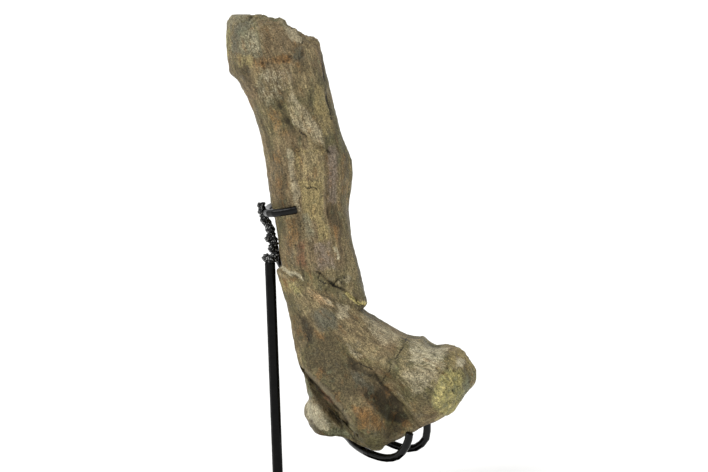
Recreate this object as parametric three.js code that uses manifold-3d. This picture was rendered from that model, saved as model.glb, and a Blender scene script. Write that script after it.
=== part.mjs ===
// The lower part of a duck-billed dinosaur's thigh bone, held upright by a welded steel display stand.
// Millimetres, +Z up. The origin is the centre of the base plate's underside. +X runs from the bone's front
// edge to its rear edge. -Y is the near side, the one that the stand's front prong reaches round to.
import * as THREE from "three";
import { mergeVertices } from "three/addons/utils/BufferGeometryUtils.js";
import Module from "manifold-3d";

const wasm = await Module();
wasm.setup();

const TOUCH_GAP = 0.3;

// The stand: half-inch bar for the upright and three-eighths bar for all that holds the bone.
const PLATE = { length: 230, width: 160, thickness: 8, corner: 8, bevel: 1 };
const UPRIGHT = { diameter: 12.7, line: [[-60.4, 0, 8.6], [-69.2, 0, 298]] };
const FOOT_WELD = { radius: 10.5, height: 4.5, toe: 0.8 };
const PRONG_DIAMETER = 9.5;
const BAR_SIDES = 10;
const BAR_STEP = 9;

// Centre lines of the bent bars, from the end that is welded to the end that holds the bone.
const HOOK_LINE = [
  [-36.5, -41.8, 365],
  [-49, -42, 362.6],
  [-61, -38.5, 360.6],
  [-69, -28, 359],
  [-71.8, -12, 358.2],
  [-71.8, 12, 358.2],
  [-69, 28, 359],
  [-61, 38.5, 360.6],
  [-49, 42, 362.6],
  [-36.5, 41.8, 365],
];
const HOOK_BAR_LINE = [
  [-63.6, 0, 299.2],
  [-63.6, 0, 307],
  [-64.2, 0, 318.5],
  [-66.4, 0, 330],
  [-71, 0, 341.5],
  [-76.8, 0, 354],
  [-79.2, 0, 367.5],
];
const CRADLE_LINE = [
  [-65, 10.4, 317],
  [-62, 17, 304],
  [-56, 26, 290],
  [-48, 33, 272],
  [-38, 41, 250],
  [-28, 49, 225],
  [-20, 58, 195],
  [-12, 68, 160],
  [-7, 75, 130],
  [-3, 75, 108],
  [3, 69, 93],
];
const FRONT_PRONG_LINE = [
  [9, 60, 85],
  [19.4, 36, 84.3],
  [26.4, 18, 80.7],
  [35.6, 0, 78],
  [47, -20, 76.9],
  [60.5, -34, 76.3],
  [69.3, -43, 78.1],
  [78.2, -51, 83.2],
  [84.8, -57, 92.3],
  [89, -60.5, 102.5],
  [90.6, -62.5, 112.3],
];
const REAR_PRONG_LINE = [
  [19.5, 66, 84.5],
  [40, 54, 82],
  [58.5, 43, 79.5],
  [70, 40, 74.8],
  [82.3, 38, 70.4],
  [96.4, 34, 69.6],
  [105.7, 30, 74.9],
  [112.1, 28, 82.7],
  [113.8, 27, 92.6],
  [113.6, 25.5, 111],
];

// Lumps of weld metal: where each one sits and how thick it is. They are a little taller than wide.
const WELD_STRETCH = 1.15;
const HOOK_BAR_WELDS = [
  [-73.5, -1, 303.5, 10],
  [-68, -5, 303, 9],
  [-67.5, 5, 302.6, 9],
  [-63, -4.5, 308, 8.4],
  [-70.5, -2, 326.5, 9],
  [-68, 3, 333, 9.5],
  [-66.5, -3, 315, 10],
  [-75, -1.5, 349, 10.5],
  [-78.5, 4, 358, 9],
];
const CRADLE_WELDS = [
  [-66.5, 9, 313, 10.5],
  [2, 68, 88.5, 13],
  [10.5, 66, 87, 11],
];

// The bone is a stack of flat cuts. Each row is one cut: the x and z of its front edge, the x and z of its
// rear edge, then its nearest and its farthest y. This list runs from the broken top to the mended break.
const SHAFT_CUTS = [
  [-99, 582, -55, 578, -20, 16],
  [-109, 580, -43, 570.5, -32, 27],
  [-115, 573, -27, 560.5, -38, 35],
  [-116.8, 563, -11.5, 548, -41.5, 40],
  [-117.5, 548, -7, 529, -43, 42],
  [-115.5, 531, -3.5, 512, -42, 42],
  [-111.5, 516, -0.5, 498, -41, 41],
  [-98.5, 498, 3, 483, -39, 40],
  [-87.5, 474, 8, 464, -37.5, 38],
  [-79, 446, 14, 444, -36.5, 37],
  [-74, 416, 24, 416, -36.5, 37],
  [-70, 386, 24, 388, -37, 37],
  [-66, 358, 22, 360, -37, 37],
  [-61, 333, 25, 330, -37, 37],
  [-57.5, 309, 32, 299, -37, 37],
  [-56, 300, 38, 275, -37, 37],
  [-55, 294.5, 43.5, 251, -36.5, 37],
];
// This list runs from the break, where the lower piece sits about 7 mm further forward, to the two knuckles.
const KNUCKLE_CUTS = [
  [-61.5, 290, 36.5, 243.5, -39.5, 34],
  [-57.5, 275, 46, 237, -39.5, 36],
  [-50, 251, 65, 226, -41, 39],
  [-45, 230, 84, 215.5, -44, 43],
  [-41.5, 209, 103, 209, -48, 49],
  [-38, 190, 117, 201.5, -54, 56],
  [-33.5, 175, 137, 200.5, -60, 62],
  [-30.2, 158, 156, 192.5, -65, 67],
  [-27.5, 143, 168, 176, -67, 70],
  [-29, 127, 168, 160, -67, 71],
  [-29, 113, 158, 146, -65, 69],
  [-24.5, 101.5, 147, 135.5, -61, 64],
  [-15.5, 93, 133, 126, -56, 56],
  [1, 89.5, 115, 115, -51, 44],
  [22, 88.5, 95, 105, -46, 24],
  [39, 86.5, 75, 95, -39, -4],
  [49, 85, 60, 87.5, -34, -18],
];

// Ridges and grooves that run along the bone. Each stop is [cut, angle, width, height]. Cuts are counted
// through both lists. The angle round a cut is in degrees: 0 is the rear edge, 90 the far side, 180 the front
// edge and 270 the near side. Height is a share of the radius, below 0 for a groove.
const SHAFT_FORMS = {
  headEdge: [[1, 255, 9, 0], [2, 255, 9, 0.05], [4, 255, 9, 0.07], [6, 252, 10, 0.05], [7.5, 248, 14, 0]],
  headHollow: [[1, 274, 14, 0], [3, 276, 15, -0.05], [5, 276, 15, -0.06], [7, 275, 16, 0]],
  nearRidge: [
    [5.5, 277, 10, 0], [7, 278, 9, 0.05], [8.5, 281, 9, 0.07], [9.5, 289, 9, 0.07], [10.3, 295, 9, 0],
  ],
  nearHollow: [[6.5, 262, 12, 0], [8, 264, 12, -0.05], [9.3, 268, 12, -0.08], [10.2, 272, 12, 0]],
  nearShoulder: [
    [9.8, 301, 10, 0], [11, 302, 10, 0.07], [13, 301, 11, 0.07], [15, 299, 12, 0.03], [16, 299, 12, 0],
  ],
  muscleScar: [[8.5, 5, 14, 0], [10, 6, 13, 0.12], [11.3, 6, 13, 0.12], [12.8, 5, 14, 0]],
  farRidge: [[6, 60, 12, 0], [9, 58, 12, 0.07], [13, 62, 12, 0.06], [16, 64, 12, 0]],
  farHollow: [[2, 98, 16, 0], [5, 96, 18, -0.09], [9, 92, 20, -0.05], [13, 92, 22, -0.03], [16, 92, 20, 0]],
};
const KNUCKLE_FORMS = {
  frontNearEdge: [
    [24, 208, 14, 0], [26, 208, 15, -0.08], [27.5, 212, 17, -0.24], [29, 216, 20, -0.36],
    [31, 218, 22, -0.32], [33, 218, 22, -0.1],
  ],
  frontRidge: [
    [18, 212, 20, 0], [21, 206, 16, 0.05], [22.5, 206, 13, 0.08], [24, 219, 12, 0.12], [25, 228, 12, 0.14],
    [26.3, 238, 12, 0.14], [27.4, 247, 12, 0.13], [29, 257, 13, 0.1], [31, 262, 14, 0],
  ],
  frontGroove: [
    [21, 182, 10, 0], [22.5, 186, 9, -0.14], [24, 196, 10, -0.28], [25, 205, 10, -0.34],
    [26.3, 214, 10, -0.34], [27.4, 223, 10, -0.28], [28.6, 232, 10, -0.14], [29.6, 238, 10, 0],
  ],
  nearHollow: [
    [18.5, 256, 22, 0], [21, 256, 18, -0.08], [23, 259, 15, -0.16], [25, 265, 14, -0.28],
    [26.5, 273, 14, -0.36], [28, 280, 14, -0.36], [29.5, 286, 14, -0.2], [31.5, 290, 14, 0],
  ],
  rearNearKnuckle: [
    [21, 300, 18, 0], [22.6, 294, 14, 0.06], [24.1, 292, 13, 0.1], [25.6, 296, 14, 0.12],
    [27.3, 303, 15, 0.12], [30, 312, 18, 0.05], [32, 310, 20, 0],
  ],
  rearGroove: [
    [21, 14, 12, 0], [23, 15, 12, -0.15], [25, 16, 12, -0.28], [27, 16, 13, -0.33], [29, 14, 14, -0.3],
    [31, 12, 14, -0.1], [32, 12, 14, 0],
  ],
  rearFarKnuckle: [[21, 48, 18, 0], [24, 47, 18, 0.08], [28, 47, 18, 0.1], [31, 47, 18, 0]],
  farHollow: [[20, 94, 22, 0], [24, 94, 22, -0.1], [28, 94, 22, -0.15], [31, 94, 20, 0]],
  frontFarKnuckle: [
    [21, 152, 18, 0], [24, 158, 18, 0.06], [27, 168, 20, 0.12], [30, 166, 18, 0.06], [32, 160, 16, 0],
  ],
};
const CUT_SIDES = 44;
const CUT_ROUNDNESS = 2.25;
const CUT_SPACING = 10.5;

const BONE = new THREE.MeshStandardMaterial({ color: 0x75694f, roughness: 0.72, metalness: 0 });
const BLACK_STEEL = new THREE.MeshStandardMaterial({ color: 0x121211, roughness: 0.4, metalness: 0.1 });

function named(name, geometry, material) {
  const mesh = new THREE.Mesh(geometry, material);
  mesh.name = name;
  return mesh;
}

function solidOf(geometry) {
  const bare = geometry.index ? geometry.toNonIndexed() : geometry.clone();
  bare.deleteAttribute("normal");
  bare.deleteAttribute("uv");
  const merged = mergeVertices(bare, 1e-3);
  return new wasm.Manifold(
    new wasm.Mesh({
      numProp: 3,
      vertProperties: merged.attributes.position.array,
      triVerts: new Uint32Array(merged.index.array),
    }),
  );
}

function geometryOf(solid) {
  const mesh = solid.getMesh();
  const positions = new Float32Array(mesh.numVert * 3);
  for (let i = 0; i < mesh.numVert; i++) {
    positions.set(mesh.vertProperties.subarray(i * mesh.numProp, i * mesh.numProp + 3), i * 3);
  }
  return new THREE.BufferGeometry()
    .setAttribute("position", new THREE.BufferAttribute(positions, 3))
    .setIndex(new THREE.BufferAttribute(new Uint32Array(mesh.triVerts), 1));
}

// The value of a smooth curve through rows of numbers, at a place counted in rows.
function alongRows(rows, place) {
  const i = Math.min(Math.floor(place), rows.length - 2);
  const s = place - i;
  const near = [i - 1, i, i + 1, i + 2];
  const [a, b, c, d] = near.map((k) => rows[THREE.MathUtils.clamp(k, 0, rows.length - 1)]);
  return b.map((_, k) => {
    const bend = 2 * a[k] - 5 * b[k] + 4 * c[k] - d[k];
    const twist = 3 * (b[k] - c[k]) + d[k] - a[k];
    return b[k] + 0.5 * s * (c[k] - a[k] + s * (bend + s * twist));
  });
}

// Angle, width and height of one ridge or groove at a cut, or null where it doesn't reach.
function formAt(stops, cut) {
  const next = stops.findIndex((stop) => stop[0] > cut);
  if (next < 1) {
    return null;
  }
  const [from, to] = [stops[next - 1], stops[next]];
  const s = THREE.MathUtils.smoothstep(cut, from[0], to[0]);
  return from.slice(1).map((value, k) => THREE.MathUtils.lerp(value, to[k + 1], s));
}

// The outline of one cut, filling the square from -1 to 1.
function unitOutline(forms, cut) {
  const reached = Object.values(forms)
    .map((stops) => formAt(stops, cut))
    .filter(Boolean);
  const points = [];
  for (let k = 0; k < CUT_SIDES; k++) {
    const degrees = (360 * k) / CUT_SIDES;
    const [c, s] = [Math.cos((degrees * Math.PI) / 180), Math.sin((degrees * Math.PI) / 180)];
    let radius = (Math.abs(c) ** CUT_ROUNDNESS + Math.abs(s) ** CUT_ROUNDNESS) ** (-1 / CUT_ROUNDNESS);
    for (const [angle, width, height] of reached) {
      const off = THREE.MathUtils.euclideanModulo(degrees - angle + 180, 360) - 180;
      radius *= 1 + height * Math.exp(-((off / width) ** 2));
    }
    points.push(new THREE.Vector2(radius * c, radius * s));
  }
  const box = new THREE.Box2().setFromPoints(points);
  const centre = box.getCenter(new THREE.Vector2());
  const half = box.getSize(new THREE.Vector2()).multiplyScalar(0.5);
  return points.map((p) => p.sub(centre).divide(half));
}

// One ring of points round the bone, at a place counted in rows of one list.
function ringAt(rows, forms, place, firstCut) {
  const [frontX, frontZ, rearX, rearZ, near, far] = alongRows(rows, place);
  return unitOutline(forms, firstCut + place).map(({ x: u, y: v }) => {
    const share = (u + 1) / 2;
    return new THREE.Vector3(
      THREE.MathUtils.lerp(frontX, rearX, share),
      THREE.MathUtils.lerp(near, far, (v + 1) / 2),
      THREE.MathUtils.lerp(frontZ, rearZ, share),
    );
  });
}

// The rings of one list, spaced about CUT_SPACING apart along whichever edge is longer.
function ringsOf(rows, forms, firstCut) {
  const rings = [];
  for (let i = 0; i + 1 < rows.length; i++) {
    const [a, b] = [rows[i], rows[i + 1]];
    const longer = Math.max(Math.hypot(b[0] - a[0], b[1] - a[1]), Math.hypot(b[2] - a[2], b[3] - a[3]));
    const steps = Math.max(1, Math.round(longer / CUT_SPACING));
    for (let k = 0; k < steps; k++) {
      rings.push(ringAt(rows, forms, i + k / steps, firstCut));
    }
  }
  rings.push(ringAt(rows, forms, rows.length - 1, firstCut));
  return rings;
}

function femurGeometry() {
  const rings = [
    ...ringsOf(SHAFT_CUTS, SHAFT_FORMS, 0),
    ...ringsOf(KNUCKLE_CUTS, KNUCKLE_FORMS, SHAFT_CUTS.length),
  ];
  const sumOf = (ring) => ring.reduce((sum, p) => sum.add(p), new THREE.Vector3());
  const middleOf = (ring) => sumOf(ring).divideScalar(ring.length);
  const points = [...rings.flat(), middleOf(rings[0]), middleOf(rings.at(-1))];
  const [topMiddle, bottomMiddle] = [points.length - 2, points.length - 1];
  const lastRing = (rings.length - 1) * CUT_SIDES;
  const triangles = [];
  for (let k = 0; k < CUT_SIDES; k++) {
    const next = (k + 1) % CUT_SIDES;
    triangles.push(topMiddle, k, next);
    triangles.push(bottomMiddle, lastRing + next, lastRing + k);
    for (let start = 0; start < lastRing; start += CUT_SIDES) {
      const below = start + CUT_SIDES;
      triangles.push(start + k, below + k, below + next);
      triangles.push(start + k, below + next, start + next);
    }
  }
  return new THREE.BufferGeometry().setFromPoints(points).setIndex(triangles);
}

// A centre line as vectors, with both ends moved outwards.
function lengthened(line, by) {
  const points = line.map((p) => new THREE.Vector3(...p));
  const moved = (end, next) => end.clone().add(end.clone().sub(next).setLength(by));
  return [moved(points[0], points[1]), ...points.slice(1, -1), moved(points.at(-1), points.at(-2))];
}

// A round bar along a smooth line through points. Grow makes it bigger all over, for cutting its neighbours.
function barSolid(line, diameter, grow = 0) {
  const route = new THREE.CatmullRomCurve3(lengthened(line, grow), false, "centripetal");
  const section = new THREE.Shape().absarc(0, 0, diameter / 2 + grow, 0, 2 * Math.PI);
  return solidOf(
    new THREE.ExtrudeGeometry(section, {
      extrudePath: route,
      steps: line.length > 2 ? Math.round(route.getLength() / BAR_STEP) : 1,
      curveSegments: BAR_SIDES / 2,
    }),
  );
}

function weldSolid([x, y, z, diameter], grow = 0) {
  const lump = new THREE.IcosahedronGeometry(diameter / 2 + grow, 1);
  return solidOf(lump.scale(1, 1, WELD_STRETCH).translate(x, y, z));
}

function weldedBar(line, welds, grow = 0) {
  return welds.reduce((sum, weld) => sum.add(weldSolid(weld, grow)), barSolid(line, PRONG_DIAMETER, grow));
}

function plateGeometry() {
  const { length, width, thickness, corner, bevel } = PLATE;
  const [x, y, r] = [length / 2 - bevel, width / 2 - bevel, corner - bevel];
  const outline = new THREE.Shape();
  outline.absarc(x - r, y - r, r, 0, Math.PI / 2);
  outline.absarc(r - x, y - r, r, Math.PI / 2, Math.PI);
  outline.absarc(r - x, r - y, r, Math.PI, 1.5 * Math.PI);
  outline.absarc(x - r, r - y, r, 1.5 * Math.PI, 2 * Math.PI);
  return new THREE.ExtrudeGeometry(outline, {
    depth: thickness - 2 * bevel,
    bevelThickness: bevel,
    bevelSize: bevel,
    bevelSegments: 1,
    curveSegments: 4,
  }).translate(0, 0, bevel);
}

function uprightGeometry() {
  const { radius, height, toe } = FOOT_WELD;
  const neck = UPRIGHT.diameter / 2 + toe;
  const profile = [[0, 0], [radius, 0], [radius - toe, height / 3], [neck, height], [0, height]];
  const foot = new THREE.LatheGeometry(profile.map(([r, z]) => new THREE.Vector2(r, z)), BAR_SIDES)
    .rotateX(Math.PI / 2)
    .translate(UPRIGHT.line[0][0], UPRIGHT.line[0][1], PLATE.thickness + TOUCH_GAP);
  return geometryOf(barSolid(UPRIGHT.line, UPRIGHT.diameter).add(solidOf(foot)));
}

// Bars that are welded together are cut back so that their faces stay TOUCH_GAP apart.
function hookBarGeometry() {
  const hook = barSolid(HOOK_LINE, PRONG_DIAMETER, TOUCH_GAP);
  const upright = barSolid(UPRIGHT.line, UPRIGHT.diameter, TOUCH_GAP);
  return geometryOf(weldedBar(HOOK_BAR_LINE, HOOK_BAR_WELDS).subtract(hook).subtract(upright));
}

function cradleBarGeometry() {
  const prongs = [FRONT_PRONG_LINE, REAR_PRONG_LINE].map((line) => barSolid(line, PRONG_DIAMETER, TOUCH_GAP));
  const hookBar = weldedBar(HOOK_BAR_LINE, HOOK_BAR_WELDS, TOUCH_GAP);
  const upright = barSolid(UPRIGHT.line, UPRIGHT.diameter, TOUCH_GAP);
  const bar = weldedBar(CRADLE_LINE, CRADLE_WELDS);
  return geometryOf([...prongs, hookBar, upright].reduce((left, cut) => left.subtract(cut), bar));
}

function rearProngGeometry() {
  const frontProng = barSolid(FRONT_PRONG_LINE, PRONG_DIAMETER, TOUCH_GAP);
  return geometryOf(barSolid(REAR_PRONG_LINE, PRONG_DIAMETER).subtract(frontProng));
}

const model = new THREE.Group();
model.add(
  named("femur", femurGeometry(), BONE),
  named("base_plate", plateGeometry(), BLACK_STEEL),
  named("upright_rod", uprightGeometry(), BLACK_STEEL),
  named("hook_bar", hookBarGeometry(), BLACK_STEEL),
  named("upper_hook", geometryOf(barSolid(HOOK_LINE, PRONG_DIAMETER)), BLACK_STEEL),
  named("cradle_bar", cradleBarGeometry(), BLACK_STEEL),
  named("front_prong", geometryOf(barSolid(FRONT_PRONG_LINE, PRONG_DIAMETER)), BLACK_STEEL),
  named("rear_prong", rearProngGeometry(), BLACK_STEEL),
);

export default model;
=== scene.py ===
"""A dinosaur's thigh bone on its welded stand: its finish, the floor, the light and the camera."""
import itertools
import math

import bpy
import numpy as np
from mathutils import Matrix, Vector


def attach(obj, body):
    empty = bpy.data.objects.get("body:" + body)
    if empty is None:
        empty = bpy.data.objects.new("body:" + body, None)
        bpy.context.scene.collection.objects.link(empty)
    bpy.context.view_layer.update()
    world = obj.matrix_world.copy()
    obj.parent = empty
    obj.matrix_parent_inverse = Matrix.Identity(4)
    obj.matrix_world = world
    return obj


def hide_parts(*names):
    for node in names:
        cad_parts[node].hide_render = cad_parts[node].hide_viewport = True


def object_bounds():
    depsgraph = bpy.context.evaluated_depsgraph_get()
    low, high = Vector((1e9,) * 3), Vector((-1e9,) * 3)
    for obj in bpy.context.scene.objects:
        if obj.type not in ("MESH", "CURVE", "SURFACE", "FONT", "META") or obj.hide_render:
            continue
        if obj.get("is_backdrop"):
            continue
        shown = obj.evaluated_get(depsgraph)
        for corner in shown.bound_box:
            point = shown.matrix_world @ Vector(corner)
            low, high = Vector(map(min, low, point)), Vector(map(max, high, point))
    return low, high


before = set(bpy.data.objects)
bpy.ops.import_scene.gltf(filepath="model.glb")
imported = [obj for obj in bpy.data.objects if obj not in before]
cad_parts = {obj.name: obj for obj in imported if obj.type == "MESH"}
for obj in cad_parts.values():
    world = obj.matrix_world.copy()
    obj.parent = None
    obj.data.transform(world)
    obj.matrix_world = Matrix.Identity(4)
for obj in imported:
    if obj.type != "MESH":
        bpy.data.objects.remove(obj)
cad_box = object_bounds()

MM = 0.001

# The photograph's camera. Places on the bone are given in the photograph's pixels, as this camera
# sees them.
IMAGE_WIDTH, IMAGE_HEIGHT = 708, 472
CAMERA_DISTANCE = 2200.0
CAMERA_RISE = math.radians(8)
CAMERA_TARGET = np.array([27.6, 0.0, 329.0])
MM_PER_PIXEL = 1.15
SENSOR_WIDTH = 36.0
FOCAL_PIXELS = CAMERA_DISTANCE / MM_PER_PIXEL
TO_CAMERA = np.array([0.0, -math.cos(CAMERA_RISE), math.sin(CAMERA_RISE)])
CAMERA_UP = np.array([0.0, math.sin(CAMERA_RISE), math.cos(CAMERA_RISE)])
CAMERA_PLACE = CAMERA_TARGET + CAMERA_DISTANCE * TO_CAMERA

# The light: the room's brightness, then the lamp's brightness, its width and the direction that it
# shines from.
ROOM_LIGHT = 0.72
KEY_LIGHT = 1.73
KEY_WIDTH = math.radians(48)
KEY_FROM = (-0.72, -0.5, 1.1)
# A small part of the lamp is brighter, which gives the black bars their thin glints.
GLINT_LIGHT = 0.6
GLINT_WIDTH = math.radians(14)

# The floor's reach to each side and how far the camera sees, in metres.
FLOOR_REACH = 120.0
VIEW_REACH = 300.0

# Mesh fineness, and the reach within which corners are welded before remeshing, in millimetres.
BONE_VOXEL = 1.38
BAR_VOXEL = 0.85
WELD_REACH = 0.01
# The two steps of a smoothing round. The second swells a little more than the first shrinks.
SMOOTH_SHRINK, SMOOTH_SWELL = 0.5, -0.53

# Weld ridges run slantwise round a bar. Their direction, and the distance between them in millimetres.
WELD_SLANT = (0.8, 0.6, 1.0)
WELD_PITCH = 5.2
# Depth of the bone's finest grain in millimetres.
BONE_GRAIN_DEPTH = 1.3

# The break runs across the bone between these two points, x and z in millimetres.
BREAK_FRONT, BREAK_REAR = (-58.0, 292.0), (40.0, 247.0)
# The fibres of the lower piece fan out from this point, and are measured at this distance from it.
FIBRE_FAN = (-66.0, 315.0)
FIBRE_FAN_RADIUS = 95.0
# The middle line of the shaft, z then x, which the fibres of the upper piece follow.
SHAFT_MIDDLE = [(240, 2), (270, -5), (305, -13), (333, -18), (361, -22), (389, -23), (416, -25),
                (444, -32), (471, -40), (499, -50), (531, -60), (585, -82)]

# Cracks, as lines of the photograph's pixels.
CRACKS = {
    "top": [(301, 30), (303, 36), (302, 44)],
    "flake": [(299, 131), (305, 136), (310, 141), (317, 145), (323, 148)],
    "plate": [(303, 186), (308, 189), (313, 187), (321, 191)],
    "plate_foot": [(296, 214), (300, 219), (302, 226)],
    "break_front": [(306, 274), (310, 271), (316, 271)],
    "break_rear": [(316, 271), (321, 274), (325, 279), (331, 282), (334, 287), (342, 289), (350, 296)],
    "break_chip_a": [(319, 274), (318, 279), (323, 283), (331, 284)],
    "break_chip_b": [(341, 275), (339, 281), (344, 285), (343, 290)],
    "break_chip_c": [(351, 280), (356, 286), (353, 291), (357, 297)],
    "break_end": [(350, 296), (356, 300), (361, 305), (366, 307)],
    "break_fork": [(334, 286), (337, 279), (342, 275), (347, 281), (346, 288)],
    "break_top": [(347, 281), (351, 277), (354, 271)],
    "knuckle": [(407, 337), (404, 346), (399, 353), (396, 358)],
    "knuckle_low": [(391, 364), (389, 372), (384, 378), (381, 384)],
    "lower_pits": [(312, 297), (316, 302), (318, 306)],
    "streak_a": [(349, 345), (355, 352), (362, 355)],
    "streak_b": [(354, 358), (362, 365), (372, 369)],
    "shaft_low": [(312, 232), (316, 246), (324, 262)],
    "lower_front": [(300, 318), (306, 334), (314, 352)],
    "dark_edge": [(322, 58), (324, 76), (327, 100), (331, 120)],
}
# Cracks stay open along their whole length at the break, and in this ellipse: centre and radii in pixels.
KNUCKLE_CRACK_PLACE = ((398, 354), (12, 20))
# The crumbly crust on the near side of the rear knuckle: centre and radii in pixels.
CRUST_PLACE = ((457, 394), (22, 28))
# Wide grooves on the near side: depth in millimetres, half width in pixels, then the line.
GROOVES = {
    "behind_ridge": (6.0, 4.5, [(312, 384), (318, 393), (327, 405), (336, 417), (342, 427)]),
    "above_knob": (2.4, 2.6, [(305, 397), (312, 399), (319, 403), (326, 410)]),
    "side": (3.0, 7.0, [(368, 382), (380, 398), (392, 412), (404, 424)]),
    "side_upper": (2.0, 9.0, [(350, 354), (362, 372), (376, 392)]),
    "head": (2.4, 6.0, [(250, 64), (268, 60), (288, 60)]),
    "head_hollow": (4.2, 9.0, [(266, 76), (270, 90), (278, 104)]),
    "break_gap": (2.6, 1.4, [(317, 272), (325, 279), (333, 285), (342, 289), (350, 295), (357, 300)]),
    "break_fork": (1.6, 1.2, [(334, 284), (338, 279), (345, 276)]),
    "under_hollow": (1.6, 3.5, [(276, 100), (282, 112), (288, 130)]),
    "shaft_front": (1.2, 3.0, [(299, 152), (298, 180), (303, 215), (306, 250)]),
    "lower_front": (2.4, 6.0, [(308, 310), (316, 332), (324, 352)]),
    "shaft_rear": (2.0, 6.0, [(330, 140), (331, 170), (331, 200), (336, 226)]),
}
# Raised lines on the near side: height in millimetres, half width in pixels, then the line.
RIDGES = {
    "front": (1.6, 2.4, [(288, 150), (290, 168), (293, 186), (296, 205)]),
    "near_ridge": (0.6, 3.5, [(306, 372), (322, 389), (336, 402), (346, 417), (358, 431)]),
    "pillar": (2.6, 7.0, [(330, 300), (342, 322), (356, 342), (372, 356), (390, 366)]),
    "pillar_low": (1.8, 7.0, [(330, 368), (346, 388), (358, 406), (368, 430)]),
    "side_lip": (1.8, 2.6, [(391, 385), (402, 396), (413, 409), (422, 420)]),
    "ledge": (1.8, 1.8, [(277, 269), (283, 268), (291, 271), (299, 275), (308, 281)]),
    "scar": (1.4, 5.0, [(343, 148), (346, 165), (346, 190)]),
    "hollow_rim": (1.4, 2.6, [(290, 62), (291, 80), (295, 96)]),
}
# Small cliffs on the near side: height in millimetres, reach of the low side in pixels, then the line.
# The low side lies to the left of the line as it is followed.
CLIFFS = {
    "flake": (2.2, 9, [(325, 148), (316, 144), (308, 138), (299, 131), (291, 121)]),
    "hollow": (1.4, 9, [(294, 102), (290, 80), (289, 62)]),
    "near_ridge": (8.0, 8, [(357, 434), (346, 418), (336, 404), (324, 392), (314, 381), (305, 371)]),
    "knuckle": (4.5, 12, [(421, 426), (411, 413), (400, 400), (389, 389), (381, 380)]),
    "knuckle_top": (2.0, 14, [(391, 364), (397, 354), (405, 337)]),
    "plate": (2.4, 10, [(325, 148), (324, 170), (325, 192), (326, 214), (332, 240)]),
    "head_facet": (2.4, 7, [(263, 60), (258, 36), (253, 18)]),
    "crust": (1.3, 6, [(432, 412), (431, 394), (437, 380), (449, 374), (456, 362), (464, 354)]),
    "break": (2.2, 10, [(366, 305), (352, 296), (340, 288), (326, 280), (314, 273)]),
    "break_scar": (1.6, 10, [(347, 281), (337, 276), (330, 284)]),
}
# Bumps and, where the height is negative, dents on the near side: centre and radii in pixels, then the
# height in millimetres.
BUMPS = [
    ((299, 57), (3.5, 7), -3.4), ((303, 52), (2, 4), -2.0), ((254, 15), (3, 3), -2.5),
    ((233, 74), (4, 4), -1.5), ((315, 300), (2.5, 4), -1.5), ((327, 214), (3, 9), -1.4),
    ((421, 400), (8, 10), -1.0), ((468, 366), (3, 4), -1.4), ((447, 392), (3, 4), -1.5),
    ((355, 378), (6, 8), -1.6), ((391, 364), (2, 3), -1.4), ((343, 318), (3, 2), -0.8),
    ((338, 388), (5, 7), -1.2), ((372, 352), (6, 5), -0.8), ((318, 417), (10, 12), 3.5),
    ((436, 366), (18, 14), 1.5), ((304, 84), (8, 18), 2.0), ((308, 380), (4, 12), 2.0),
]
# Chips and bumps that show in the bone's outline, on both sides: centre and radii in pixels, then the
# height in millimetres.
OUTLINE_FORMS = [
    ((436, 342), (7, 4), -5.6), ((410, 332), (9, 5), -2.0), ((458, 347), (6, 6), 3.4),
    ((478, 376), (4, 9), 2.4), ((423, 338), (4, 4), 4.2), ((455, 412), (13, 9), 5.5),
    ((436, 421), (8, 4), 2.4), ((228, 20), (5, 6), 1.6), ((242, 11), (8, 5), 3.5),
    ((284, 17), (4, 4), 1.8), ((293, 24), (5, 4), -1.6), ((303, 32), (5, 4), -3.6),
    ((318, 39), (4, 5), 2.4), ((229, 72), (4, 5), 2.2), ((241, 80), (5, 5), -2.0),
    ((337, 442), (14, 5), -6.5), ((376, 449), (6, 4), 2.0), ((305, 398), (4, 4), -3.5),
    ((304, 412), (4, 8), 1.8), ((392, 446), (5, 4), -1.6), ((352, 178), (3, 16), 1.2),
]
# Chips and points of the broken top end: centre and radii in space, then the height, all in
# millimetres.
TOP_CHIPS = [
    ((-88, 15, 578), (3, 34, 30), -5.0), ((-82, 18, 582), (3, 24, 30), 5.0),
    ((-101, 16, 582), (10, 24, 20), 4.5), ((-62, -8, 574), (5, 14, 12), -4.0),
    ((-96, -24, 576), (7, 9, 12), -3.5), ((-46, 18, 566), (4, 14, 12), -3.5),
]

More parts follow.
